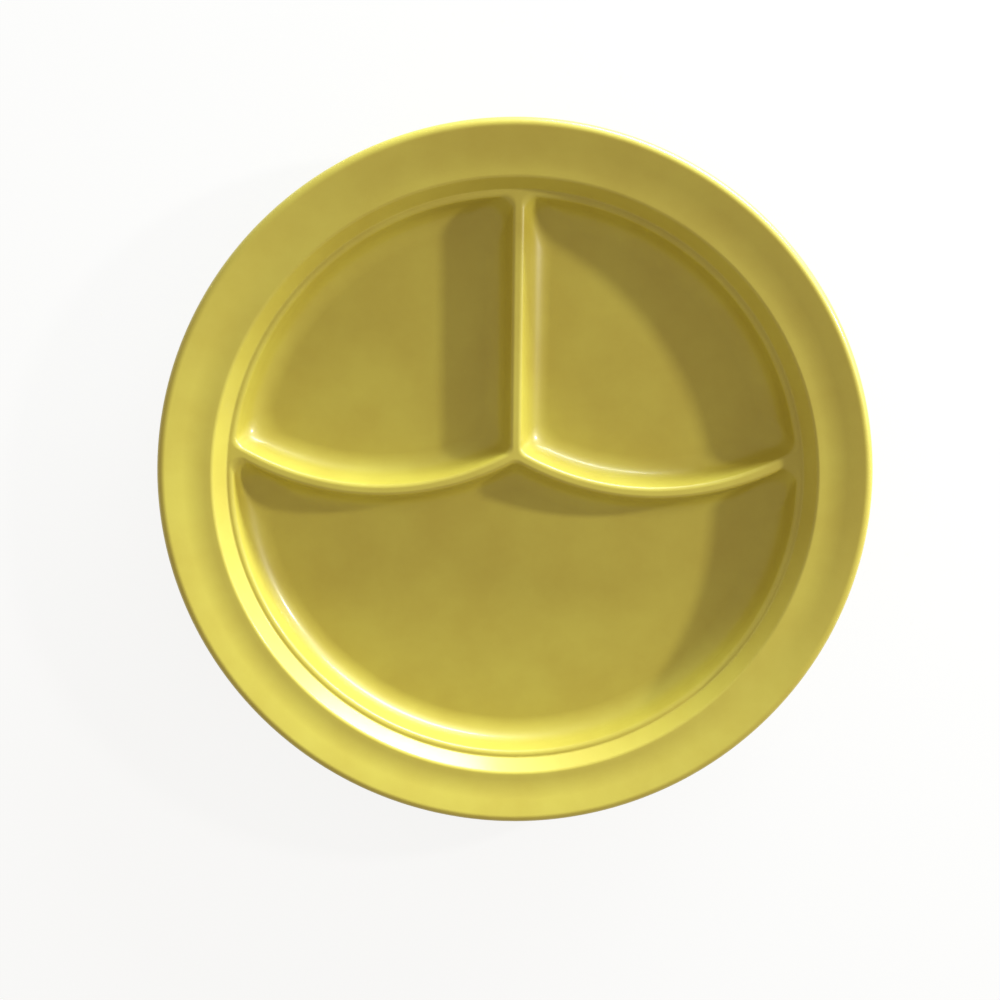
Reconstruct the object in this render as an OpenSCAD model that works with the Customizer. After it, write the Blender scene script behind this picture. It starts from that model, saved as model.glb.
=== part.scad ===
// Round three-compartment dinner plate, compression moulded in melamine.
//
// One moulding carries everything: a wide rim with a thick rounded lip, a stepped well,
// two small compartments and one large one between a straight and two curved dividers,
// and a foot ring to stand on. A clear glaze, pressed on in a second shot, coats the food side.
//
// Frame: millimetres, +Z up, origin at the centre of the plane that the plate stands on.
// The straight divider runs along +Y, and the large compartment lies on the -Y side.

/* [Plate and rim] */
// Diameter over the lip
plate_d = 254; // [240:1:280]
// Width of the rim, from the well's mouth to the plate's edge
rim_w = 18.9; // [17:0.1:24]
// Height of the lip's top over the well's mouth
rim_rise = 3.4; // [3:0.1:4.5]
// Slope of the rim's inner band, in degrees
rim_inner_slope = 2; // [0:0.5:4]
// Slope of the rim's outer band, in degrees
rim_outer_slope = 18.5; // [17:0.5:22]
// Radius of the hollow between the two bands
rim_bend_r = 28; // [8:1:30]
// Radius of the lip's upper edge
lip_r = 2.6; // [1.8:0.1:3]
// Thickness of the rim at its edge
lip_t = 3.9; // [3.8:0.1:5]

/* [Well] */
// Drop from the mouth to the tops of the dividers
step_h = 5.6; // [4:0.1:8]
// Width over which the stepped wall slopes in
step_run = 3.6; // [2:0.1:5]
// Width of the ledge between the stepped wall and the compartments
ledge_w = 2.3; // [2.1:0.1:5]
// Radius of the edge at the mouth
mouth_r = 1.5; // [0.8:0.1:2]
// Radius of the hollow at the foot of the stepped wall
step_r = 0.8; // [0.5:0.1:1]

/* [Compartments] */
// Depth of the compartments below the tops of the dividers
pocket_depth = 11.4; // [10:0.1:15]
// Slope of the outer wall from upright, in degrees
wall_draft = 12; // [8:1:16]
// Radius between the walls and the floor
floor_r = 8.5; // [6:0.1:9.5]
// Radius of the compartments' upper edges
crest_r = 1.8; // [1:0.1:2]
// Radius of the compartments' corners at the tops of the dividers
corner_top_r = 4; // [3:0.1:6]
// Radius of the compartments' corners at the floor
corner_floor_r = 10; // [8:0.1:13]

/* [Dividers] */
// Width of the dividers' tops, edge to edge before rounding
crest_w = 3.8; // [3:0.1:5]
// Slope of the dividers' sides from upright, in degrees
divider_draft = 20; // [19:1:26]
// Distance of the hub from the plate's centre
hub_offset = 12.1; // [6:0.1:20]
// Distance of the curved dividers' outer ends from the X axis
arm_end_offset = 14.4; // [8:0.1:22]
// Radius of the curved dividers' centre line
arm_r = 99.3; // [88:0.1:120]

/* [Underside] */
// Thickness of the floor and of the outer walls
wall = 3; // [2.6:0.1:3.6]
// Height of the foot ring
foot_h = 2; // [1.5:0.1:4]
// Width of the foot ring's flat
foot_w = 2.4; // [2:0.1:4]
// Distance from the edge of the compartments' floors in to the foot ring
foot_inset = 6; // [4:0.1:12]
// Slope of the foot ring's sides from upright, in degrees
foot_draft = 15; // [5:1:20]
// Slope of the outside of the well from upright, in degrees
outside_draft = 24; // [20:1:26]
// Radius of the edges of the lip and the foot ring on the underside
edge_r = 0.6; // [0.3:0.1:0.8]
// Radius of the hollow where the rim meets the outside of the well
rim_under_r = 4; // [2:0.1:6]

/* [Glaze] */
// Thickness of the clear glaze
glaze_t = 0.3; // [0.2:0.05:0.4]

/* [Hidden] */

// How far a cut runs past the face that it opens
overrun = 1;
// Facets round the revolved surfaces
round_fn = 180;
// Steps along the outlines' arcs, round their corners, and down the walls' curves.
// The first counts for half of the large compartment's outer wall.
rim_steps = 23;
side_steps = 18;
arm_steps = 15;
corner_steps = 6;
fillet_steps = 5;
crest_steps = 3;
// Steps round the curves of a section
bend_steps = 6;
// Where the glaze ends on the lip, as a share of the edge below the lip's curve
parting_share = 0.25;

// Heights
floor_z = foot_h + wall;
crest_z = floor_z + pocket_depth;
mouth_z = crest_z + step_h;
top_z = mouth_z + rim_rise;
lip_under_z = top_z - lip_t;
parting_z = top_z - lip_r - parting_share * (lip_t - lip_r);

// Radii from the plate's axis
plate_r = plate_d / 2;
well_r = plate_r - rim_w;
ledge_r = well_r - step_run;
pocket_r = ledge_r - ledge_w;

// The lip's corner before rounding, and the bend where the rim's two bands meet
lip_corner_z = top_z + lip_r * (tan(rim_outer_slope) + 1 / cos(rim_outer_slope) - 1);
bend_run = (lip_corner_z - mouth_z - rim_w * tan(rim_outer_slope)) / (tan(rim_inner_slope) - tan(rim_outer_slope));
bend = [well_r + bend_run, mouth_z + bend_run * tan(rim_inner_slope)];

// The outside of the well stays one wall thickness away from the foot of the compartments' outer wall
outside_foot_r = pocket_r - pocket_depth * tan(wall_draft) + wall / cos(outside_draft) - wall * tan(outside_draft);
outside_top_r = outside_foot_r + (mouth_z - wall - foot_h) * tan(outside_draft);

// The curved dividers' centre line passes through the hub and its outer end
hub = [0, hub_offset];
arm_end = [sqrt(ledge_r * ledge_r - arm_end_offset * arm_end_offset), arm_end_offset];
arm_chord = arm_end - hub;
arm_rise = sqrt(arm_r * arm_r - arm_chord * arm_chord / 4);
arm_centre = (hub + arm_end) / 2 + arm_rise * [-arm_chord.y, arm_chord.x] / norm(arm_chord);

// Direction of a vector from +X, in degrees from 0 to 360
function heading(v) = (atan2(v.y, v.x) + 360) % 360;

// Direction of a vector, as a vector of length one
function unit(v) = v / norm(v);

// Points on a circle from angle a0 to angle a1, with both ends unless skip is 1
function arc(centre, r, a0, a1, steps, skip = 0) =
    [for (i = [skip:steps - skip])
        let (a = a0 + (a1 - a0) * i / steps)
        centre + r * [cos(a), sin(a)]];

// Where circles about a and b meet, on the right-hand side of the way from a to b
function meet(a, ra, b, rb) =
    let (
        d = norm(b - a),
        along = (ra * ra - rb * rb + d * d) / (2 * d),
        off = sqrt(ra * ra - along * along)
    )
    a + along * (b - a) / d + off * [b.y - a.y, a.x - b.x] / d;

// An open path of points [x, y, r], whose inner corners are rounded to radius r
function rounded(path) =
    [for (i = [0:len(path) - 1])
        let (p = [path[i].x, path[i].y], r = path[i].z)
        if (r == 0) p
        else
            let (
                u = unit([path[i - 1].x, path[i - 1].y] - p),
                v = unit([path[i + 1].x, path[i + 1].y] - p),
                half = acos(u * v) / 2,
                centre = p + unit(u + v) * r / sin(half),
                start = heading(p + u * r / tan(half) - centre),
                sweep = (180 - 2 * half) * (cross(u, v) > 0 ? -1 : 1)
            )
            each arc(centre, r, start, start + sweep, bend_steps)];

// The same kind of path sunk by t to the right-hand side of its way.
// Corners that turn right lose t of their radius, and corners that turn left gain it.
function sunk(path, t) =
    [for (i = [0:len(path) - 1])
        let (
            p = [path[i].x, path[i].y],
            before = i == 0 ? [1, 0] : unit(p - [path[i - 1].x, path[i - 1].y]),
            after = i == len(path) - 1 ? before : unit([path[i + 1].x, path[i + 1].y] - p),
            side = unit([before.y, -before.x] + [after.y, -after.x]),
            q = p + side * t / (side * [before.y, -before.x]),
            r = path[i].z
        )
        [q.x, q.y, r == 0 ? 0 : r + (cross(before, after) > 0 ? t : -t)]];

// Section of the food side outside the compartments, from the axis to the lip's edge
food_side = [
    [0, crest_z, 0],
    [ledge_r, crest_z, step_r],
    [well_r, mouth_z, mouth_r],
    [bend.x, bend.y, rim_bend_r],
    [plate_r, lip_corner_z, lip_r],
    [plate_r, parting_z, 0]
];

// How far a compartment's wall has come in at height h over the floor. It counts from the
// wall's upper edge before rounding, so on the rounding it is below zero.
function slope_in(h, draft, r_floor, r_crest) =
    let (
        reach = tan(45 - draft / 2),
        foot = pocket_depth * tan(draft) + r_floor * reach
    )
    h < r_floor * reach * cos(draft) ? foot - sqrt(pow(r_floor, 2) - pow(r_floor - h, 2))
    : h > pocket_depth - r_crest * reach * cos(draft)
        ? sqrt(max(0, pow(r_crest, 2) - pow(h - pocket_depth + r_crest, 2))) - r_crest * reach
    : (pocket_depth - h) * tan(draft);

// How far a wall's upper edge moves back when the whole surface sinks by t
function set_back(t, draft) = t * (1 - sin(draft)) / cos(draft);

// Heights over the floor at which a compartment's outline is drawn
function level_heights(r_floor, r_crest) =
    concat(
        [for (i = [0:fillet_steps]) r_floor * (1 - cos((90 - wall_draft) * i / fillet_steps))],
        [for (i = [crest_steps:-1:0]) pocket_depth - r_crest * (1 - cos((90 - wall_draft) * i / crest_steps))]
    );

// Outline of the right-hand small compartment, inside an outer wall of radius ro and
// dividers of half width w, with corners of radius q. The points run anticlockwise.
function small_outline(ro, w, q) =
    let (
        ra = arm_r - w,
        top = [w + q, sqrt(pow(ro - q, 2) - pow(w + q, 2))],
        low = [w + q, arm_centre.y - sqrt(pow(ra - q, 2) - pow(arm_centre.x - w - q, 2))],
        end = meet([0, 0], ro - q, arm_centre, ra - q),
        a_low = heading(low - arm_centre),
        a_end = heading(end - arm_centre)
    )
    concat(
        arc(low, q, 180, a_low, corner_steps),
        arc(arm_centre, ra, a_low, a_end, arm_steps, 1),
        arc(end, q, a_end, heading(end) + 360, corner_steps),
        arc([0, 0], ro, heading(end), heading(top), side_steps, 1),
        arc(top, q, heading(top), 180, corner_steps)
    );

// A closed outline from one half of it, whose first and last points lie on the Y axis
function both_halves(half) =
    concat(half, [for (i = [len(half) - 2:-1:1]) [-half[i].x, half[i].y]]);

// Outline of the large compartment, on the far side of both curved dividers.
// It starts at the middle of the outer wall.
function large_outline(ro, w, q) =
    let (
        ra = arm_r + w,
        tip = [0, arm_centre.y - sqrt(pow(ra + q, 2) - pow(arm_centre.x, 2))],
        end = meet([0, 0], ro - q, arm_centre, ra + q),
        a_tip = heading(arm_centre - tip),
        a_end = heading(arm_centre - end),
        b_end = atan2(end.y, end.x)
    )
    both_halves(concat(
        [[0, -ro]],
        arc([0, 0], ro, 270, 360 + b_end, rim_steps, 1),
        arc(end, q, b_end, a_end, corner_steps),
        arc(arm_centre, ra, 180 + a_end, 180 + a_tip, arm_steps, 1),
        arc(tip, q, a_tip, 90, corner_steps / 2)
    ));

// A compartment's outlines, each with its height, for a surface sunk by t.
// A last outline runs straight up past the dividers' tops by above.
function compartment_levels(large, t, above) =
    let (
        r_floor = floor_r + t,
        r_crest = crest_r - t,
        heights = level_heights(r_floor, r_crest)
    )
    [for (i = [0:len(heights)])
        let (
            h = heights[min(i, len(heights) - 1)],
            z = floor_z - t + h + (i == len(heights) ? above : 0),
            ro = pocket_r + set_back(t, wall_draft) - slope_in(h, wall_draft, r_floor, r_crest),
            w = crest_w / 2 - set_back(t, divider_draft) + slope_in(h, divider_draft, r_floor, r_crest),
            q = corner_floor_r + (corner_top_r - corner_floor_r) * h / pocket_depth + t
        )
        [z, large ? large_outline(ro, w, q) : small_outline(ro, w, q)]];

// A closed solid through a stack of outlines that all have as many points
module loft(levels) {
    n = len(levels[0][1]);
    last = len(levels) - 1;
    polyhedron(
        points = [for (level = levels) for (p = level[1]) [p.x, p.y, level[0]]],
        faces = concat(
            [[for (i = [0:n - 1]) i]],
            [for (k = [0:last - 1]) for (i = [0:n - 1])
                let (a = k * n + i, b = k * n + (i + 1) % n)
                each [[a, a + n, b + n], [a, b + n, b]]],
            [[for (i = [n - 1:-1:0]) last * n + i]]
        )
    );
}

// The space of one compartment, for a surface sunk by t
module small_compartment(t, above) {
    loft(compartment_levels(false, t, above));
}

module large_compartment(t, above) {
    loft(compartment_levels(true, t, above));
}

floor_edge_r = pocket_r - slope_in(0, wall_draft, floor_r, crest_r);
foot_outer_r = floor_edge_r - foot_inset;
foot_inner_r = foot_outer_r - foot_w;
foot_spread = foot_h * tan(foot_draft);

// Section of the underside, from the lip's edge in to the axis
underside = [
    [plate_r, parting_z, 0],
    [plate_r, lip_under_z, edge_r],
    [outside_top_r, mouth_z - wall, rim_under_r],
    [outside_foot_r, foot_h, floor_r + wall],
    [foot_outer_r + foot_spread, foot_h, edge_r],
    [foot_outer_r, 0, edge_r],
    [foot_inner_r, 0, edge_r],
    [foot_inner_r - foot_spread, foot_h, edge_r],
    [0, foot_h, 0]
];

module moulded_body() {
    color([0.80, 0.72, 0.36])
        difference() {
            rotate_extrude($fn = round_fn)
                polygon(concat(rounded(sunk(food_side, glaze_t)), rounded(underside)));
            small_compartment(glaze_t, overrun);
            mirror([1, 0, 0]) small_compartment(glaze_t, overrun);
            large_compartment(glaze_t, overrun);
        }
}

module food_side_glaze() {
    body_side = rounded(sunk(food_side, glaze_t));
    color([0.87, 0.80, 0.45])
        difference() {
            union() {
                rotate_extrude($fn = round_fn)
                    polygon(concat(rounded(food_side), [for (i = [len(body_side) - 1:-1:0]) body_side[i]]));
                small_compartment(glaze_t, glaze_t / 2);
                mirror([1, 0, 0]) small_compartment(glaze_t, glaze_t / 2);
                large_compartment(glaze_t, glaze_t / 2);
            }
            small_compartment(0, overrun);
            mirror([1, 0, 0]) small_compartment(0, overrun);
            large_compartment(0, overrun);
        }
}

moulded_body();
food_side_glaze();
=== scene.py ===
"""A round three-compartment dinner plate, compression moulded in yellow melamine.

The plate has two bonded layers: the coloured moulding, and the clear glaze pressed over its
food side. Both are drawn here from the sizes of the moulding, in millimetres, and end up in
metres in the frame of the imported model. The straight divider runs along +Y.
"""
import logging
import math
from dataclasses import dataclass, field
from enum import Enum
from typing import Callable

import bmesh
import bpy
from bmesh.types import BMEdge, BMesh, BMVert
from mathutils import Matrix, Vector


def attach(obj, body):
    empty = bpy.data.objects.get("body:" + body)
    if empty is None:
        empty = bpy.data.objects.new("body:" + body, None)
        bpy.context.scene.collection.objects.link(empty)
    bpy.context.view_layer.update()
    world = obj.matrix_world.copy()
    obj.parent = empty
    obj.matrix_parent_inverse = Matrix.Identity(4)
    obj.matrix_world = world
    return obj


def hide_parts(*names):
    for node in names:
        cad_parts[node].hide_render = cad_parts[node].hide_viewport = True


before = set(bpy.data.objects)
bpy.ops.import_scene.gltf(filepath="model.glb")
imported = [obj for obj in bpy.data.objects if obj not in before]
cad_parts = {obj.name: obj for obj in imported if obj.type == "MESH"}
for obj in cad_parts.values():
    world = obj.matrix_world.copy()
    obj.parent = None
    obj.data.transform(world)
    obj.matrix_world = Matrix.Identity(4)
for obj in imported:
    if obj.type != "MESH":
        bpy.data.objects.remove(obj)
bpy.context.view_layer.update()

LOG = logging.getLogger("plate")
MM = 0.001
UP = Vector((0.0, 0.0, 1.0))
WHITE = "FFFFFF"
SHARP_FROM = math.radians(40)

# Distances in millimetres at which points count as one, while the meshes are drawn.
CLOSED_WITHIN = 1e-3
MERGED_WITHIN = 1e-4
NOTHING_MERGED = -1.0

Section = list[tuple[float, float, float]]
Socket = bpy.types.NodeSocket
Tree = bpy.types.NodeTree


class Detail(Enum):
    """How many times finer than the plain step count a surface is drawn."""

    SEEN = 3
    COVERED = 1


class Side(Enum):
    """Which compartments an outline is drawn for."""

    SMALL = "small"
    LARGE = "large"


def heading(v: Vector) -> float:
    """Direction of a vector seen from above.

    Args:
        v: The vector.

    Returns:
        The angle from +X in radians, from 0 to two pi.
    """
    return math.atan2(v.y, v.x) % math.tau


def meet(a: Vector, ra: float, b: Vector, rb: float) -> Vector:
    """Where two circles meet, on the right-hand side of the way from one to the other.

    Args:
        a: Centre of the first circle.
        ra: Radius of the first circle.
        b: Centre of the second circle.
        rb: Radius of the second circle.

    Returns:
        The point, in the plane z = 0.
    """
    way = b - a
    along = (ra**2 - rb**2 + way.length_squared) / (2 * way.length)
    off = math.sqrt(ra**2 - along**2)
    way.normalize()
    return a + along * way + off * Vector((way.y, -way.x, 0.0))


class Pen:
    """Draws a chain of edges on a sheet of its own, with straight strokes and spun arcs."""

    def __init__(self, start: Vector, axis: Vector = UP) -> None:
        """Puts the pen down.

        Args:
            start: Where the chain starts.
            axis: Normal of the plane that the arcs turn in.
        """
        self.bm: BMesh = bmesh.new()
        self.axis = axis
        self.last: BMVert = self.bm.verts.new(start)

    def line(self, to: Vector) -> None:
        """Draws a straight stroke.

        Args:
            to: Where it ends.
        """
        vert = self.bm.verts.new(to)
        self.bm.edges.new((self.last, vert))
        self.last = vert

    def arc(self, centre: Vector, sweep: float, steps: int) -> None:
        """Spins the pen about a centre.

        Args:
            centre: Centre of the arc.
            sweep: Angle to turn through in radians, anticlockwise about the pen's axis.
            steps: Number of edges in the arc.
        """
        spun = bmesh.ops.spin(
            self.bm, geom=[self.last], cent=centre, axis=self.axis,
            angle=sweep, steps=steps, use_merge=False,
        )
        self.last = next(g for g in spun["geom_last"] if isinstance(g, BMVert))

    def corner(self, before: Vector, at: Vector, after: Vector, radius: float, steps: int) -> None:
        """Draws up to a corner of a path and round it.

        Args:
            before: The path's point before the corner.
            at: The corner before rounding.
            after: The path's point after the corner.
            radius: Radius of the rounding.
            steps: Number of edges round it.
        """
        u, v = (before - at).normalized(), (after - at).normalized()
        half = u.angle(v) / 2
        centre = at + (u + v).normalized() * radius / math.sin(half)
        start, end = at + u * radius / math.tan(half), at + v * radius / math.tan(half)
        turn = (start - centre).cross(end - centre).normalized().dot(self.axis)
        self.line(start)
        self.arc(centre, math.copysign(math.pi - 2 * half, turn), steps)

    def onto(self, bm: BMesh, closed: bool) -> list[BMEdge]:
        """Copies the chain into a larger bmesh and puts the pen's own sheet away.

        Args:
            bm: The bmesh that gets the chain.
            closed: Whether the chain's end meets its start.

        Returns:
            The new edges, in order.
        """
        places = [v.co.copy() for v in self.bm.verts]
        self.bm.free()
        if closed and (places[-1] - places[0]).length < CLOSED_WITHIN:
            places.pop()
        verts = [bm.verts.new(place) for place in places]
        ends = verts[1:] + verts[:1] if closed else verts[1:]
        return [bm.edges.new(pair) for pair in zip(verts, ends)]


@dataclass(frozen=True)
class Moulding:
    """Sizes of the plate in millimetres, and the rules that its outlines follow."""

    plate_d: float = 254.0
    rim_w: float = 18.9
    rim_rise: float = 3.4
    rim_inner_slope: float = math.radians(2)
    rim_outer_slope: float = math.radians(18.5)
    rim_bend_r: float = 28.0
    lip_r: float = 2.6
    lip_t: float = 3.9
    step_h: float = 5.6
    step_run: float = 3.6
    ledge_w: float = 2.3
    mouth_r: float = 1.5
    step_r: float = 0.8
    pocket_depth: float = 11.4
    wall_draft: float = math.radians(12)
    floor_r: float = 8.5
    crest_r: float = 1.8
    corner_top_r: float = 4.0
    corner_floor_r: float = 10.0
    crest_w: float = 3.8
    divider_draft: float = math.radians(20)
    hub_offset: float = 12.1
    arm_end_offset: float = 14.4
    arm_r: float = 99.3
    wall: float = 3.0
    foot_h: float = 2.0
    foot_w: float = 2.4
    foot_inset: float = 6.0
    foot_draft: float = math.radians(15)
    outside_draft: float = math.radians(24)
    edge_r: float = 0.6
    rim_under_r: float = 4.0
    glaze_t: float = 0.3
    parting_share: float = 0.25

    @property
    def floor_z(self) -> float:
        """Height of the compartments' floors."""
        return self.foot_h + self.wall

    @property
    def crest_z(self) -> float:
        """Height of the dividers' tops."""
        return self.floor_z + self.pocket_depth

    @property
    def mouth_z(self) -> float:
        """Height of the well's mouth."""
        return self.crest_z + self.step_h

    @property
    def top_z(self) -> float:
        """Height of the lip's top."""
        return self.mouth_z + self.rim_rise

    @property
    def parting_z(self) -> float:
        """Height on the lip's edge at which the glaze ends."""
        return self.top_z - self.lip_r - self.parting_share * (self.lip_t - self.lip_r)

    @property
    def plate_r(self) -> float:
        """Radius over the lip."""
        return self.plate_d / 2

    @property
    def well_r(self) -> float:
        """Radius of the well's mouth."""
        return self.plate_r - self.rim_w

    @property
    def ledge_r(self) -> float:
        """Radius of the ledge's outer edge."""
        return self.well_r - self.step_run

    @property
    def pocket_r(self) -> float:
        """Radius of the compartments' outer wall at the top."""
        return self.ledge_r - self.ledge_w

    @property
    def arm_end(self) -> Vector:
        """Outer end of the right-hand curved divider."""
        across = math.sqrt(self.ledge_r**2 - self.arm_end_offset**2)
        return Vector((across, self.arm_end_offset, 0.0))

    @property
    def arm_centre(self) -> Vector:
        """Centre that the right-hand curved divider bends about."""
        hub = Vector((0.0, self.hub_offset, 0.0))
        chord = self.arm_end - hub
        rise = math.sqrt(self.arm_r**2 - chord.length_squared / 4)
        return (hub + self.arm_end) / 2 + rise * Vector((-chord.y, chord.x, 0.0)).normalized()

    @property
    def foot_outer_r(self) -> float:
        """Outer radius of the foot ring's flat."""
        return self.pocket_r - self.run_in(0.0, self.wall_draft, 0.0) - self.foot_inset

    @property
    def foot_inner_r(self) -> float:
        """Inner radius of the foot ring's flat."""
        return self.foot_outer_r - self.foot_w

    def run_in(self, h: float, draft: float, sunk: float) -> float:
        """How far a compartment's wall has come in from its upper edge before rounding.

        Args:
            h: Height over the compartment's floor.
            draft: Slope of the wall from upright.
            sunk: How far the surface lies under the finished one.

        Returns:
            The distance in millimetres, which is below zero on the upper rounding.
        """
        r_floor, r_crest = self.floor_r + sunk, self.crest_r - sunk
        reach = math.tan(math.pi / 4 - draft / 2)
        foot = self.pocket_depth * math.tan(draft) + r_floor * reach
        if h < r_floor * reach * math.cos(draft):
            return foot - math.sqrt(max(0.0, r_floor**2 - (r_floor - h) ** 2))
        if h > self.pocket_depth - r_crest * reach * math.cos(draft):
            under = max(0.0, r_crest**2 - (h - self.pocket_depth + r_crest) ** 2)
            return math.sqrt(under) - r_crest * reach
        return (self.pocket_depth - h) * math.tan(draft)

    def food_side(self) -> Section:
        """Lays out the food side's section.

        Returns:
            Corners as (radius, height, rounding), from the ledge to the lip's edge.
        """
        lip_z = self.top_z + self.lip_r * (
            math.tan(self.rim_outer_slope) + 1 / math.cos(self.rim_outer_slope) - 1
        )
        run = (lip_z - self.mouth_z - self.rim_w * math.tan(self.rim_outer_slope)) / (
            math.tan(self.rim_inner_slope) - math.tan(self.rim_outer_slope)
        )
        bend = (self.well_r + run, self.mouth_z + run * math.tan(self.rim_inner_slope))
        step_turn = math.atan2(self.step_h, self.step_run)
        ledge_flat = (
            self.pocket_r + self.crest_r * math.tan(math.pi / 4 - self.wall_draft / 2),
            self.ledge_r - self.step_r * math.tan(step_turn / 2),
        )
        return [
            (sum(ledge_flat) / 2, self.crest_z, 0.0),
            (self.ledge_r, self.crest_z, self.step_r),
            (self.well_r, self.mouth_z, self.mouth_r),
            (*bend, self.rim_bend_r),
            (self.plate_r, lip_z, self.lip_r),
            (self.plate_r, self.parting_z, 0.0),
        ]

    def covered_side(self) -> Section:
        """Sinks the food side's section by the glaze's thickness.

        Returns:
            The sunk corners, in the food side's order.
        """
        path = self.food_side()
        sunk = []
        for i, (r, z, rounding) in enumerate(path):
            at = Vector((r, z))
            before = (at - Vector(path[i - 1][:2])).normalized() if i else Vector((1.0, 0.0))
            after = (Vector(path[i + 1][:2]) - at).normalized() if i + 1 < len(path) else before
            normals = [Vector((d.y, -d.x)) for d in (before, after)]
            side = (normals[0] + normals[1]).normalized()
            at = at + side * self.glaze_t / side.dot(normals[0])
            change = math.copysign(self.glaze_t, before.cross(after))
            sunk.append((at.x, at.y, rounding + change if rounding else 0.0))
        return sunk

    def underside(self) -> Section:
        """Lays out the underside's section.

        Returns:
            Corners as (radius, height, rounding), from the lip's edge to the floor.
        """
        foot_r = (
            self.pocket_r - self.pocket_depth * math.tan(self.wall_draft)
            + self.wall / math.cos(self.outside_draft) - self.wall * math.tan(self.outside_draft)
        )
        rise = self.mouth_z - self.wall - self.foot_h
        shoulder = (foot_r + rise * math.tan(self.outside_draft), self.mouth_z - self.wall)
        spread = self.foot_h * math.tan(self.foot_draft)
        return [
            (self.plate_r, self.parting_z, 0.0),
            (self.plate_r, self.top_z - self.lip_t, self.edge_r),
            (*shoulder, self.rim_under_r),
            (foot_r, self.foot_h, self.floor_r + self.wall),
            (self.foot_outer_r + spread, self.foot_h, self.edge_r),
            (self.foot_outer_r, 0.0, self.edge_r),
            (self.foot_inner_r, 0.0, self.edge_r),
            (self.foot_inner_r - spread, self.foot_h, self.edge_r),
            (self.foot_inner_r - spread - self.foot_w, self.foot_h, 0.0),
        ]


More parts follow.
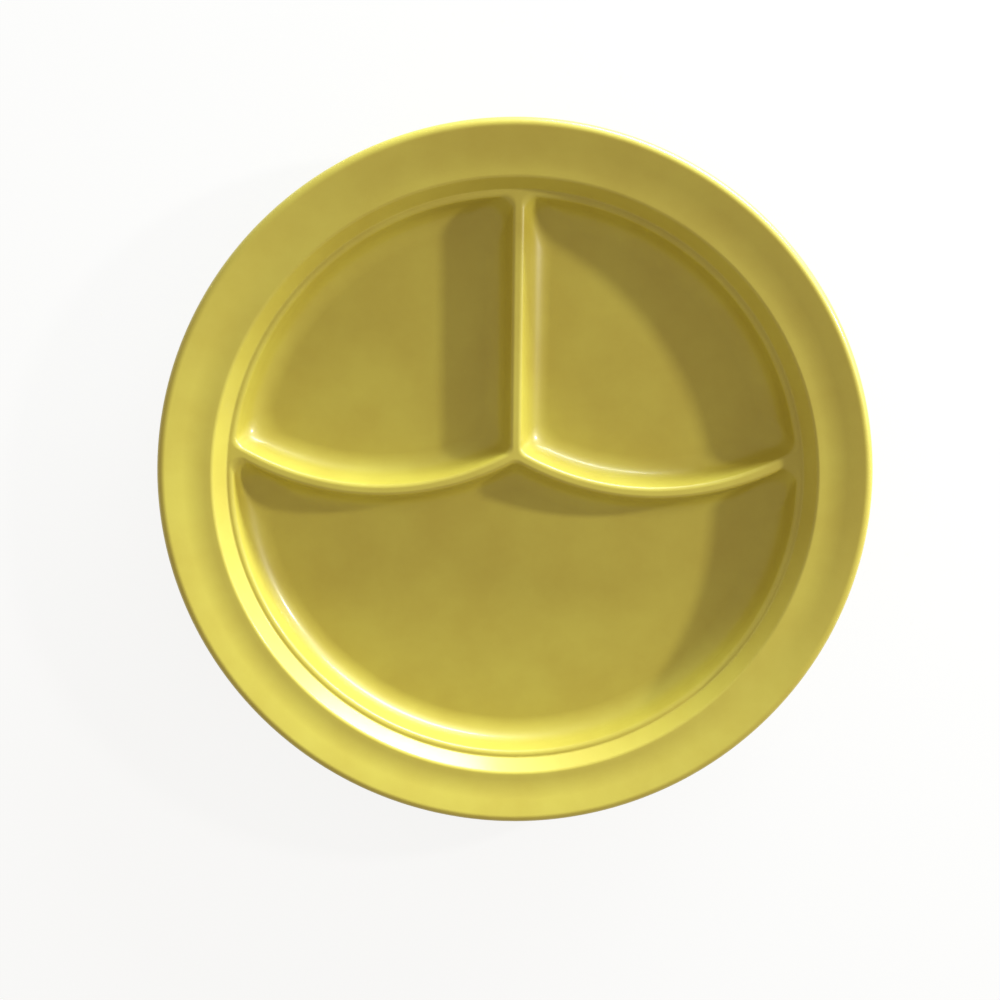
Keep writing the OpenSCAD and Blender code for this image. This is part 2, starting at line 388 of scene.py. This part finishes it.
@dataclass
class Surfaces:
    """Draws the surfaces that both layers of the plate share into one bmesh, in millimetres."""

    sizes: Moulding
    bm: BMesh
    turn_steps: int = 360
    corner_steps: int = 6
    arm_steps: int = 22
    side_steps: int = 26
    rim_steps: int = 64
    fillet_steps: int = 6
    crest_steps: int = 4
    bend_steps: int = 5
    guard: float = 0.06

    def section(self, path: Section, detail: Detail, pen: Pen | None = None) -> Pen:
        """Draws a section of the round surfaces in the XZ plane.

        Args:
            path: Corners as (radius, height, rounding).
            detail: How finely the roundings are drawn.
            pen: A pen to go on from, or None to start a chain.

        Returns:
            The pen at the end of the path.
        """
        points = [Vector((r, 0.0, z)) for r, z, _ in path]
        if pen is None:
            pen = Pen(points[0], Vector((0.0, -1.0, 0.0)))
        else:
            pen.line(points[0])
        steps = self.bend_steps * detail.value
        for i in range(1, len(path) - 1):
            before, at, after = points[i - 1 : i + 2]
            pen.corner(before, at, after, path[i][2], steps)
        pen.line(points[-1])
        return pen

    def revolve(self, pen: Pen) -> None:
        """Spins a section once round the plate's axis.

        Args:
            pen: The pen that drew the section.
        """
        edges = pen.onto(self.bm, closed=False)
        verts = {v for e in edges for v in e.verts}
        bmesh.ops.spin(
            self.bm, geom=[*verts, *edges], cent=(0.0, 0.0, 0.0), axis=UP,
            angle=math.tau, steps=self.turn_steps, use_merge=True,
        )

    def compartment_loop(self, side: Side, h: float, sunk: float, detail: Detail) -> list[BMEdge]:
        """Draws a compartment's outline at one height.

        Args:
            side: The right-hand small compartment, or the large one.
            h: Height over the compartment's floor.
            sunk: How far the surface lies under the finished one.
            detail: How finely the outline is drawn.

        Returns:
            The edges of the closed outline.
        """
        s, n = self.sizes, detail.value
        drafts = (s.wall_draft, s.divider_draft)
        outer, inner = (sunk * (1 - math.sin(d)) / math.cos(d) for d in drafts)
        z = s.floor_z - sunk + h
        ro = s.pocket_r + outer - s.run_in(h, s.wall_draft, sunk)
        w = s.crest_w / 2 - inner + s.run_in(h, s.divider_draft, sunk)
        q = s.corner_floor_r + (s.corner_top_r - s.corner_floor_r) * h / s.pocket_depth + sunk
        lift = Vector((0.0, 0.0, z))
        axis, arm = Vector((0.0, 0.0, 0.0)), s.arm_centre
        if side is Side.SMALL:
            ra = s.arm_r - w
            top = Vector((w + q, math.sqrt((ro - q) ** 2 - (w + q) ** 2), 0.0))
            low = Vector((w + q, arm.y - math.sqrt((ra - q) ** 2 - (arm.x - w - q) ** 2), 0.0))
            end = meet(axis, ro - q, arm, ra - q)
            a_low, a_end = heading(low - arm), heading(end - arm)
            pen = Pen(low - Vector((q, 0.0, 0.0)) + lift)
            pen.arc(low, a_low - math.pi, self.corner_steps * n)
            pen.arc(arm, a_end - a_low, self.arm_steps * n)
            pen.arc(end, heading(end) + math.tau - a_end, self.corner_steps * n)
            pen.arc(axis, heading(top) - heading(end), self.side_steps * n)
            pen.arc(top, math.pi - heading(top), self.corner_steps * n)
            return pen.onto(self.bm, closed=True)
        ra = s.arm_r + w
        tip = Vector((0.0, arm.y - math.sqrt((ra + q) ** 2 - arm.x**2), 0.0))
        end = meet(axis, ro - q, arm, ra + q)
        a_tip, a_end, b_end = heading(arm - tip), heading(arm - end), math.atan2(end.y, end.x)
        left = Vector((-1.0, 1.0, 1.0))
        pen = Pen(tip + q * Vector((math.cos(a_tip), math.sin(a_tip), 0.0)) + lift)
        pen.arc(tip, math.pi - 2 * a_tip, self.corner_steps * n)
        pen.arc(arm * left, a_tip - a_end, self.arm_steps * n)
        pen.arc(end * left, a_end - b_end, self.corner_steps * n)
        pen.arc(axis, math.pi + 2 * b_end, self.rim_steps * n)
        pen.arc(end, a_end - b_end, self.corner_steps * n)
        pen.arc(arm, a_tip - a_end, self.arm_steps * n)
        return pen.onto(self.bm, closed=True)

    def levels(self, sunk: float, detail: Detail) -> list[float]:
        """Heights over the floor at which a compartment's outline is drawn.

        Args:
            sunk: How far the surface lies under the finished one.
            detail: How finely the roundings are drawn.

        Returns:
            The heights, from the floor to the dividers' tops.
        """
        s = self.sizes
        turn = math.pi / 2 - s.wall_draft
        low, high = self.fillet_steps * detail.value, self.crest_steps * detail.value
        foot = [(s.floor_r + sunk) * (1 - math.cos(turn * i / low)) for i in range(low + 1)]
        crest = [
            s.pocket_depth - (s.crest_r - sunk) * (1 - math.cos(turn * i / high))
            for i in range(high, -1, -1)
        ]
        return foot + crest

    def stack(self, loops: list[list[BMEdge]]) -> None:
        """Bridges a stack of outlines and closes its first one with a flat face.

        Args:
            loops: The outlines' edges, in order.
        """
        for low, high in zip(loops, loops[1:]):
            bmesh.ops.bridge_loops(self.bm, edges=low + high)
        self.flat(loops[0])

    def flat(self, edges: list[BMEdge]) -> None:
        """Fills a flat region, with a narrow band along its border to keep its middle flat.

        Args:
            edges: The region's border, with the borders of any holes in it.
        """
        filled = bmesh.ops.triangle_fill(self.bm, edges=edges, use_beauty=True, use_dissolve=False)
        faces = [g for g in filled["geom"] if isinstance(g, bmesh.types.BMFace)]
        bmesh.ops.inset_region(
            self.bm, faces=faces, thickness=self.guard, use_boundary=True, use_even_offset=True,
        )

    def compartments(self, sunk: float, detail: Detail) -> None:
        """Draws the three compartments, open at the dividers' tops.

        Args:
            sunk: How far the surface lies under the finished one.
            detail: How finely they are drawn.
        """
        before = set(self.bm.verts) | set(self.bm.edges) | set(self.bm.faces)
        heights = self.levels(sunk, detail)
        self.stack([self.compartment_loop(Side.SMALL, h, sunk, detail) for h in heights])
        right = [g for g in [*self.bm.verts, *self.bm.edges, *self.bm.faces] if g not in before]
        bmesh.ops.mirror(
            self.bm, geom=right, matrix=Matrix.Identity(4), merge_dist=NOTHING_MERGED, axis="X",
        )
        self.stack([self.compartment_loop(Side.LARGE, h, sunk, detail) for h in heights])

    def border(self, z: float) -> list[BMEdge]:
        """Finds the open edges that lie at one height.

        Args:
            z: The height.

        Returns:
            The edges.
        """
        return [
            e for e in self.bm.edges
            if e.is_boundary and all(abs(v.co.z - z) < self.guard / 2 for v in e.verts)
        ]


def linear(code: str) -> tuple[float, float, float, float]:
    """Turns an sRGB hex colour to linear.

    Args:
        code: Six hex digits.

    Returns:
        Red, green, blue and alpha.
    """
    parts = [int(code[i : i + 2], 16) / 255 for i in (0, 2, 4)]
    return (*((p / 12.92 if p <= 0.04045 else ((p + 0.055) / 1.055) ** 2.4) for p in parts), 1.0)


def per_metre(millimetres: float) -> float:
    """Scale of a pattern.

    Args:
        millimetres: How far across its features are.

    Returns:
        The scale for coordinates in metres.
    """
    return 1 / (millimetres * MM)


def add(
    tree: Tree,
    kind: str,
    inputs: dict[str | int, object] | None = None,
    **settings: object,
) -> bpy.types.Node:
    """Adds a node with its settings and links.

    Args:
        tree: The node tree.
        kind: The node's type name.
        inputs: Values for its inputs, or sockets to link to them, by name or place.
        **settings: Properties of the node itself.

    Returns:
        The new node.
    """
    node = tree.nodes.new(kind)
    for name, value in settings.items():
        setattr(node, name, value)
    for key, value in (inputs or {}).items():
        if isinstance(value, Socket):
            tree.links.new(value, node.inputs[key])
        else:
            node.inputs[key].default_value = value
    return node


def maths(tree: Tree, operation: str, *values: float | Socket) -> Socket:
    """Adds a sum.

    Args:
        tree: The node tree.
        operation: The sum's name.
        *values: Its numbers, or the sockets that bring them, in order.

    Returns:
        The socket with the result.
    """
    return add(tree, "ShaderNodeMath", dict(enumerate(values)), operation=operation).outputs[0]


def ramp(tree: Tree, value: Socket, low: float, high: float) -> Socket:
    """Adds a straight ramp that stays level past its ends.

    Args:
        tree: The node tree.
        value: The socket that the ramp reads.
        low: The value that gives 0.
        high: The value that gives 1.

    Returns:
        The socket with the result.
    """
    ends = {"Value": value, "From Min": low, "From Max": high}
    return add(tree, "ShaderNodeMapRange", ends).outputs[0]


def noise(
    tree: Tree, place: Socket, scale: float, detail: float = 1.0, roughness: float = 0.5,
) -> Socket:
    """Adds a noise pattern.

    Args:
        tree: The node tree.
        place: The coordinates that it reads.
        scale: Its scale.
        detail: How many finer layers it has.
        roughness: How strong the finer layers are.

    Returns:
        The socket with the pattern.
    """
    pattern = {"Vector": place, "Scale": scale, "Detail": detail, "Roughness": roughness}
    return add(tree, "ShaderNodeTexNoise", pattern).outputs["Fac"]


def blend(tree: Tree, share: Socket, start: object, end: object) -> Socket:
    """Mixes two colours.

    Args:
        tree: The node tree.
        share: The socket with the second colour's share.
        start: The first colour, or the socket that brings it.
        end: The second colour, or the socket that brings it.

    Returns:
        The socket with the mixed colour.
    """
    pair = {"Factor": share, "A": start, "B": end}
    return add(tree, "ShaderNodeMix", pair, data_type="RGBA").outputs[2]


def blank_tree(owner: bpy.types.Material | bpy.types.World) -> Tree:
    """Turns nodes on and clears them.

    Args:
        owner: The material or world.

    Returns:
        Its empty node tree.
    """
    owner.use_nodes = True
    owner.node_tree.nodes.clear()
    return owner.node_tree


def put(name: str, data: bpy.types.ID) -> bpy.types.Object:
    """Adds an object to the scene.

    Args:
        name: The object's name.
        data: Its mesh, lamp or camera.

    Returns:
        The object.
    """
    thing = bpy.data.objects.new(name, data)
    bpy.context.scene.collection.objects.link(thing)
    return thing


@dataclass(frozen=True)
class MelamineFinish:
    """Cellulose-filled melamine, moulded against a polished tool, with its clear glaze.

    The resin takes a hard, even gloss. Pigment and filler leave faint clouds in the colour,
    the tool's polish leaves a slow waviness that bends reflections, and use leaves hairline
    knife marks on the floors and duller, paler tops on the dividers and the rim.
    """

    name: str = "melamine_glazed_gloss"
    colour: str = "C4B648"
    cloud: str = "BDAC41"
    worn: str = "CDBE55"
    roughness: float = 0.42
    coat: float = 0.28
    coat_roughness: float = 0.15
    ior: float = 1.55
    cloud_mm: float = 22.0
    cloud_detail: float = 4.0
    cloud_roughness: float = 0.55
    cloud_span: tuple[float, float] = (0.33, 0.67)
    wave_mm: float = 38.0
    wave_height: float = 0.02
    peel_mm: float = 1.6
    peel_height: float = 0.004
    scratch_turns: tuple[float, ...] = (0.3, 1.35, 2.5)
    scratch_length_mm: float = 30.0
    scratch_width_mm: float = 0.5
    scratch_span: tuple[float, float] = (0.70, 0.76)
    scratch_share: float = 0.10
    wear_mm: float = 6.0
    wear_detail: float = 5.0
    wear_roughness: float = 0.6
    wear_depth: float = 0.5
    wear_tint: float = 0.35
    wear_share: float = 0.10
    crest_z: float = 16.4

    def marks(self, tree: Tree, place: Socket) -> Socket:
        """Hairline knife marks: long thin streaks laid in three directions.

        Args:
            tree: The material's node tree.
            place: Coordinates on the piece, in metres.

        Returns:
            A mask that is 1 on a mark.
        """
        size = (per_metre(self.scratch_length_mm), per_metre(self.scratch_width_mm), 1.0)
        masks = []
        for turn in self.scratch_turns:
            lie = {"Vector": place, "Rotation": (0.0, 0.0, turn), "Scale": size}
            laid = add(tree, "ShaderNodeMapping", lie).outputs[0]
            masks.append(ramp(tree, noise(tree, laid, 1.0), *self.scratch_span))
        total = masks[0]
        for mask in masks[1:]:
            total = maths(tree, "MAXIMUM", total, mask)
        return total

    def build(self) -> bpy.types.Material:
        """Makes the material.

        Returns:
            The material, ready to assign.
        """
        material = bpy.data.materials.new(self.name)
        tree = blank_tree(material)
        place = add(tree, "ShaderNodeTexCoord").outputs["Object"]
        clouds = noise(
            tree, place, per_metre(self.cloud_mm), self.cloud_detail, self.cloud_roughness,
        )
        drift = ramp(tree, clouds, *self.cloud_span)
        tint = blend(tree, drift, linear(self.cloud), linear(self.colour))
        height = add(tree, "ShaderNodeSeparateXYZ", {0: place}).outputs["Z"]
        near_top = ramp(tree, height, (self.crest_z - self.wear_depth) * MM, self.crest_z * MM)
        patches = noise(
            tree, place, per_metre(self.wear_mm), self.wear_detail, self.wear_roughness,
        )
        wear = maths(tree, "MULTIPLY", near_top, patches)
        paler = maths(tree, "MULTIPLY", wear, self.wear_tint)
        duller = maths(tree, "MULTIPLY_ADD", wear, self.wear_share, self.roughness)
        marks = self.marks(tree, place)
        wave = noise(tree, place, per_metre(self.wave_mm))
        peel = noise(tree, place, per_metre(self.peel_mm))
        relief = maths(tree, "MULTIPLY_ADD", wave, self.wave_height / self.peel_height, peel)
        bump = add(
            tree, "ShaderNodeBump",
            {"Height": relief, "Distance": self.peel_height * MM, "Strength": 1.0},
        )
        skin = add(
            tree, "ShaderNodeBsdfPrincipled",
            {
                "Base Color": blend(tree, paler, tint, linear(self.worn)),
                "Roughness": maths(tree, "MULTIPLY_ADD", marks, self.scratch_share, duller),
                "Normal": bump.outputs[0],
                "IOR": self.ior,
                "Coat Weight": self.coat,
                "Coat Roughness": self.coat_roughness,
            },
        )
        add(tree, "ShaderNodeOutputMaterial", {"Surface": skin.outputs[0]})
        return material


@dataclass(frozen=True)
class BackFinish:
    """The same melamine without the glaze, as the lower half of the tool leaves it.

    The tool's turning marks show as fine rings round the middle, and the foot ring is rubbed
    paler and duller by the table.
    """

    name: str = "melamine_moulded_satin"
    colour: str = "BEAF44"
    rubbed: str = "CFC370"
    roughness: float = 0.42
    ior: float = 1.55
    ring_mm: float = 1.4
    ring_height: float = 0.012
    ring_strength: float = 0.5
    cloud_mm: float = 22.0
    cloud_detail: float = 4.0
    cloud_share: float = 0.25
    grain_mm: float = 2.5
    grain_detail: float = 4.0
    rub_heights: tuple[float, float] = (0.5, 0.05)
    rub_share: float = 0.3

    def build(self) -> bpy.types.Material:
        """Makes the material.

        Returns:
            The material, ready to assign.
        """
        material = bpy.data.materials.new(self.name)
        tree = blank_tree(material)
        place = add(tree, "ShaderNodeTexCoord").outputs["Object"]
        across, along, height = add(tree, "ShaderNodeSeparateXYZ", {0: place}).outputs
        clouds = noise(tree, place, per_metre(self.cloud_mm), self.cloud_detail)
        near_table = ramp(tree, height, *(h * MM for h in self.rub_heights))
        grain = noise(tree, place, per_metre(self.grain_mm), self.grain_detail)
        rub = maths(tree, "MULTIPLY", near_table, grain)
        paler = maths(tree, "MULTIPLY_ADD", clouds, self.cloud_share, rub)
        flat = add(tree, "ShaderNodeCombineXYZ", {"X": across, "Y": along})
        radius = add(tree, "ShaderNodeVectorMath", {0: flat.outputs[0]}, operation="LENGTH")
        turns = math.tau * per_metre(self.ring_mm)
        rings = maths(tree, "SINE", maths(tree, "MULTIPLY", radius.outputs["Value"], turns))
        bump = add(
            tree, "ShaderNodeBump",
            {"Height": rings, "Distance": self.ring_height * MM, "Strength": self.ring_strength},
        )
        skin = add(
            tree, "ShaderNodeBsdfPrincipled",
            {
                "Base Color": blend(tree, paler, linear(self.colour), linear(self.rubbed)),
                "Roughness": maths(tree, "MULTIPLY_ADD", rub, self.rub_share, self.roughness),
                "Normal": bump.outputs[0],
                "IOR": self.ior,
            },
        )
        add(tree, "ShaderNodeOutputMaterial", {"Surface": skin.outputs[0]})
        return material


@dataclass
class Layer:
    """One of the plate's two layers, as a closed mesh."""

    sizes: Moulding
    name: str
    node: str
    slot: str
    finish: MelamineFinish | BackFinish
    draw: Callable[[Surfaces], None] = field(repr=False)

    def make(self) -> bpy.types.Object:
        """Builds the mesh, dresses it, hangs it under the root body and hides the imported part it
        replaces.

        Returns:
            The finished piece.
        """
        bm = bmesh.new()
        self.draw(Surfaces(self.sizes, bm))
        bmesh.ops.remove_doubles(bm, verts=bm.verts, dist=MERGED_WITHIN)
        bmesh.ops.recalc_face_normals(bm, faces=bm.faces)
        open_edges = sum(not e.is_manifold for e in bm.edges)
        bmesh.ops.scale(bm, vec=(MM, MM, MM), verts=bm.verts)
        mesh = bpy.data.meshes.new(self.name)
        bm.to_mesh(mesh)
        bm.free()
        mesh.shade_smooth()
        mesh.set_sharp_from_angle(angle=SHARP_FROM)
        mesh.materials.append(self.finish.build())
        piece = put(self.name, mesh)
        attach(piece, "root")
        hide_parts(self.node)
        LOG.info("%s: %d faces, %d open edges", self.name, len(mesh.polygons), open_edges)
        return piece


@dataclass
class DividedPlate:
    """The whole plate: the moulding and the glaze over its food side."""

    sizes: Moulding = field(default_factory=Moulding)

    def draw_body(self, surfaces: Surfaces) -> None:
        """Draws the moulding: the covered side, the lip's edge and the underside.

        Args:
            surfaces: Where it is drawn.
        """
        s = self.sizes
        pen = surfaces.section(s.covered_side(), Detail.COVERED)
        surfaces.section(s.underside(), Detail.SEEN, pen)
        surfaces.revolve(pen)
        surfaces.compartments(s.glaze_t, Detail.COVERED)
        surfaces.flat(surfaces.border(s.crest_z - s.glaze_t))
        surfaces.flat(surfaces.border(s.foot_h))

    def draw_glaze(self, surfaces: Surfaces) -> None:
        """Draws the glaze: the finished food side, and the side that it lies on.

        Args:
            surfaces: Where it is drawn.
        """
        s = self.sizes
        pen = surfaces.section(s.food_side(), Detail.SEEN)
        surfaces.section(s.covered_side()[::-1], Detail.COVERED, pen)
        surfaces.revolve(pen)
        for sunk, detail in ((0.0, Detail.SEEN), (s.glaze_t, Detail.COVERED)):
            surfaces.compartments(sunk, detail)
            surfaces.flat(surfaces.border(s.crest_z - sunk))

    def build(self) -> list[bpy.types.Object]:
        """Builds both layers.

        Returns:
            The two pieces.
        """
        layers = [
            Layer(
                self.sizes, "plate_moulding", "moulded_body", "moulded_melamine",
                BackFinish(), self.draw_body,
            ),
            Layer(
                self.sizes, "food_side_finish", "food_side_glaze", "melamine_glaze",
                MelamineFinish(crest_z=self.sizes.crest_z), self.draw_glaze,
            ),
        ]
        return [layer.make() for layer in layers]


def around(azimuth: float, height: float, distance: float) -> tuple[float, float, float]:
    """Place at a direction and a distance from the middle of the table under the plate.

    Args:
        azimuth: Direction from +X in radians, seen from above.
        height: Angle over the table in radians.
        distance: Distance in metres.

    Returns:
        The place in metres.
    """
    level = distance * math.cos(height)
    return (level * math.cos(azimuth), level * math.sin(azimuth), distance * math.sin(height))


@dataclass(frozen=True)
class Lamp:
    """A soft oval lamp that points at the plate."""

    name: str
    place: tuple[float, float, float]
    size: tuple[float, float]
    power: float
    colour: str = WHITE

    def hang(self) -> None:
        """Adds the lamp to the scene."""
        data = bpy.data.lights.new(self.name, "AREA")
        data.shape = "ELLIPSE"
        data.size, data.size_y = self.size
        data.energy = self.power
        data.color = linear(self.colour)[:3]
        lamp = put(self.name, data)
        lamp.location = self.place
        lamp.rotation_euler = (-Vector(self.place)).to_track_quat("-Z", "Y").to_euler()


@dataclass(frozen=True)
class Studio:
    """Camera, lamps, pale floor and world."""

    distance: float = 0.360
    aim: tuple[float, float, float] = (0.0, 0.0, 0.020)
    lean_x: float = math.radians(-0.27)
    lean_y: float = math.radians(10.65)
    roll: float = math.radians(0.7)
    sensor_mm: float = 36.0
    nearest: float = 0.01
    lens_share: float = 1.0028
    centre_share: tuple[float, float] = (0.5152, 0.4902)
    key_azimuth: float = math.radians(20)
    key_height: float = math.radians(23)
    key_distance: float = 0.9
    key_size: float = 0.06
    key_power: float = 4.7
    broad_azimuth: float = math.radians(60)
    broad_height: float = math.radians(8)
    broad_distance: float = 1.1
    broad_size: tuple[float, float] = (1.0, 0.25)
    broad_power: float = 34.0
    broad_colour: str = "E6F6FF"
    floor_size: float = 3.0
    floor_sides: int = 96
    floor_colour: str = "F2F2F0"
    floor_gap: float = 0.0001
    world_strength: float = 0.50
    world_colour: str = "FFF3DC"
    floor_glow: float = 0.86

    def camera(self) -> None:
        """Sets the camera where the photograph was taken from."""
        way = Vector((math.tan(self.lean_x), math.tan(self.lean_y), 1.0)).normalized()
        up = Vector((-math.sin(self.roll), math.cos(self.roll), 0.0))
        across = up.cross(way).normalized()
        data = bpy.data.cameras.new("plate_view")
        data.sensor_width = self.sensor_mm
        data.lens = self.lens_share * data.sensor_width
        data.shift_x = 0.5 - self.centre_share[0]
        data.shift_y = self.centre_share[1] - 0.5
        data.clip_start = self.nearest
        camera = put("plate_view", data)
        camera.matrix_world = Matrix((across, way.cross(across), way)).transposed().to_4x4()
        camera.location = Vector(self.aim) + self.distance * way
        bpy.context.scene.camera = camera

    def lamps(self) -> None:
        """Hangs a small lamp on the right, and a wide one lower down behind the plate."""
        key = around(self.key_azimuth, self.key_height, self.key_distance)
        Lamp("key_lamp", key, (self.key_size, self.key_size), self.key_power).hang()
        broad = around(self.broad_azimuth, self.broad_height, self.broad_distance)
        Lamp("low_lamp", broad, self.broad_size, self.broad_power, self.broad_colour).hang()

    def floor(self) -> None:
        """Lays a pale floor, white to the eye, that keeps the plate's shadow."""
        bm = bmesh.new()
        bmesh.ops.create_circle(
            bm, cap_ends=True, segments=self.floor_sides, radius=self.floor_size,
            matrix=Matrix.Translation((0.0, 0.0, -self.floor_gap)),
        )
        mesh = bpy.data.meshes.new("pale_floor")
        bm.to_mesh(mesh)
        bm.free()
        material = bpy.data.materials.new("matt_card_white")
        tree = blank_tree(material)
        card = add(tree, "ShaderNodeBsdfDiffuse", {"Color": linear(self.floor_colour)})
        white = add(tree, "ShaderNodeEmission", {"Strength": 1.0})
        path = add(tree, "ShaderNodeLightPath")
        seen = maths(tree, "MAXIMUM", path.outputs["Is Camera Ray"], path.outputs["Is Glossy Ray"])
        share = maths(tree, "MULTIPLY", seen, self.floor_glow)
        mix = add(
            tree, "ShaderNodeMixShader", {0: share, 1: card.outputs[0], 2: white.outputs[0]},
        )
        add(tree, "ShaderNodeOutputMaterial", {"Surface": mix.outputs[0]})
        mesh.materials.append(material)
        floor = put("pale_floor", mesh)

    def world(self) -> None:
        """Fills in evenly with a slightly warm world that the camera sees as white."""
        world = bpy.data.worlds.new("white_room")
        tree = blank_tree(world)
        seen = add(tree, "ShaderNodeLightPath").outputs["Is Camera Ray"]
        strength = add(
            tree, "ShaderNodeMapRange",
            {"Value": seen, "To Min": self.world_strength, "To Max": 1.0},
        )
        glow = add(
            tree, "ShaderNodeBackground",
            {
                "Color": blend(tree, seen, linear(self.world_colour), linear(WHITE)),
                "Strength": strength.outputs[0],
            },
        )
        add(tree, "ShaderNodeOutputWorld", {"Surface": glow.outputs[0]})
        bpy.context.scene.world = world

    def set_up(self) -> None:
        """Puts everything round the plate in place."""
        self.camera()
        self.lamps()
        self.floor()
        self.world()
        bpy.context.scene.view_settings.view_transform = "Standard"


def main() -> None:
    """Builds the plate and the studio."""
    logging.basicConfig(level=logging.INFO, format="%(name)s: %(message)s")
    for piece in DividedPlate().build():
        LOG.info("built %s", piece.name)
    Studio().set_up()


if __name__ == "__main__":
    main()
